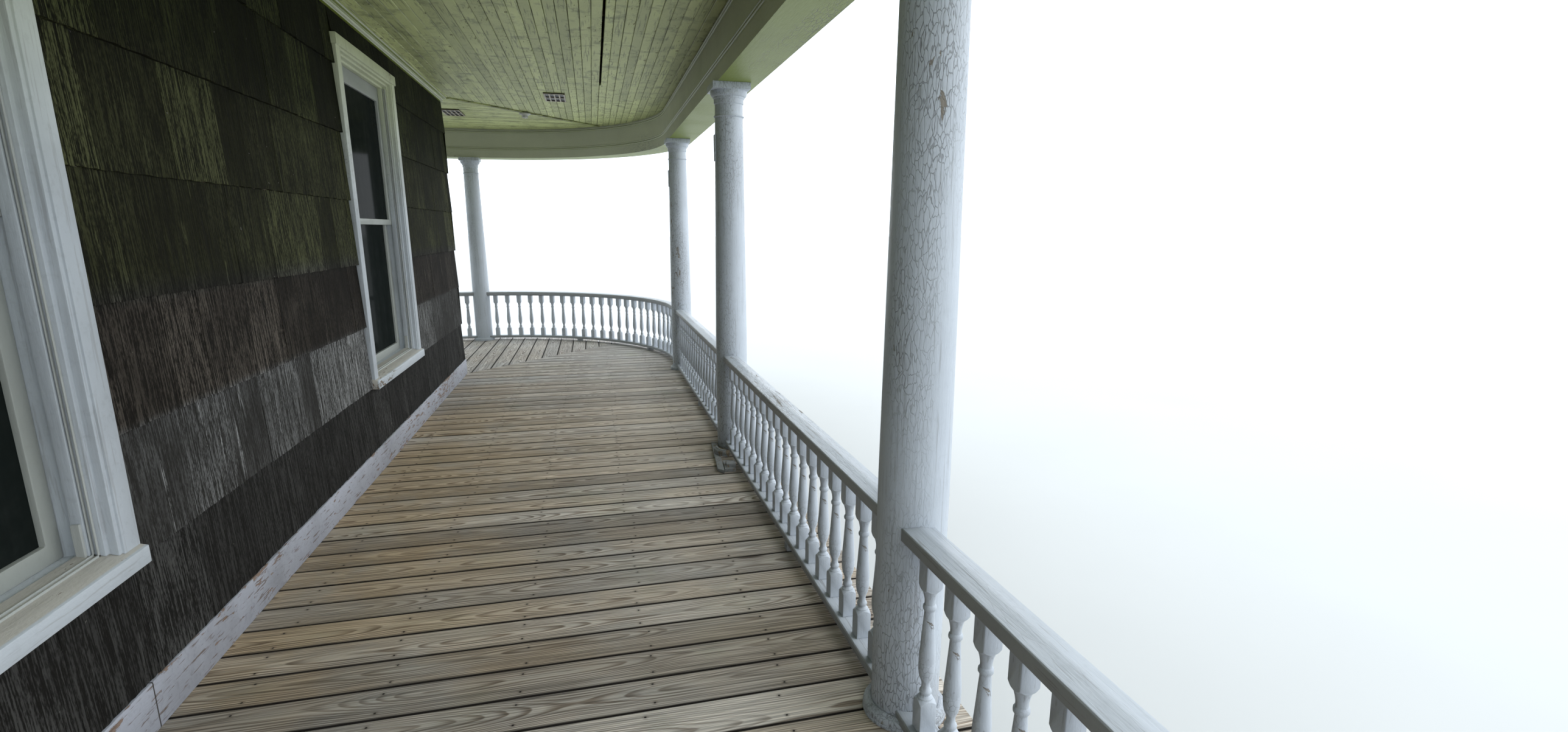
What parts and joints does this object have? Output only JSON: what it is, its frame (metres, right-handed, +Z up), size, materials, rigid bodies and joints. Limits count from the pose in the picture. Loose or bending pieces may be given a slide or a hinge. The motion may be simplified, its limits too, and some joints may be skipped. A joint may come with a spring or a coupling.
{
  "type": "wraparound front porch",
  "caption": "Corner of a roofed wraparound porch with round columns, turned balusters, a curved rail and beam, board floor and ceiling, and shingled house walls with sash windows.",
  "frame": {"origin": "Foot of the house's outer corner: the vertical edge where the side and front walls meet, at ground level.", "axes": "+Z up. +X points out from the side wall and +Y points out from the front wall."},
  "size_m": [5.65, 11.545, 3.785],
  "materials": {
    "masonry": "rough, plain masonry",
    "wall_boarding": "rough sawn boards",
    "dark_shingles": "striated, weathered, dark",
    "peeling_white": "white paint, peeling to grey wood",
    "green_paint": "dull green paint, dirty in the grooves",
    "window_paint": "grey paint, worn",
    "window_glass": "dark, behind a screen",
    "sill_paint": "worn cream paint",
    "deck_boards": "bare weathered boards, grey to tan",
    "frame_wood": "plain sawn lumber",
    "column_paint": "white paint, chipped and cracked",
    "rail_paint": "white paint, stained in the joints",
    "ceiling_paint": "dull green paint, cracked along the boards",
    "brown_vent": "brown, matte, rusty",
    "lamp_shell": "dirty white glaze",
    "roofing": "rough grey roll roofing"
  },
  "bodies": {
    "root": {"foundation": "masonry", "wall_side": "wall_boarding", "wall_front": "wall_boarding", "shingles_side": "dark_shingles", "shingles_front": "dark_shingles", "base_board": "peeling_white", "crown_moulding": "green_paint", "window_casings": "peeling_white", "window_sashes": "window_paint", "window_glass": "window_glass", "window_sills": "sill_paint", "deck_side": "deck_boards", "deck_front": "deck_boards", "joists": "frame_wood", "girders": "frame_wood", "rim_board": "peeling_white", "piers": "masonry", "column_shafts": "column_paint", "column_capitals": "column_paint", "column_bases": "column_paint", "broken_base": "column_paint", "column_cleats": "column_paint", "top_rail_side": "rail_paint", "top_rail_corner": "rail_paint", "top_rail_front": "rail_paint", "foot_rail_side": "rail_paint", "foot_rail_corner": "rail_paint", "foot_rail_front": "rail_paint", "rail_blocks": "rail_paint", "balusters_side": "rail_paint", "balusters_corner": "rail_paint", "balusters_front": "rail_paint", "beam_side": "green_paint", "beam_corner": "green_paint", "beam_front": "green_paint", "beam_header": "frame_wood", "ceiling_side": "ceiling_paint", "ceiling_front": "ceiling_paint", "ceiling_batten": "ceiling_paint", "ceiling_vents": "brown_vent", "lamp_base": "lamp_shell", "rafters": "frame_wood", "roof_side": "roofing", "roof_corner": "roofing", "roof_front": "roofing", "eave_fascia": "peeling_white", "end_panels": "peeling_white"}
  },
  "joints": []
}
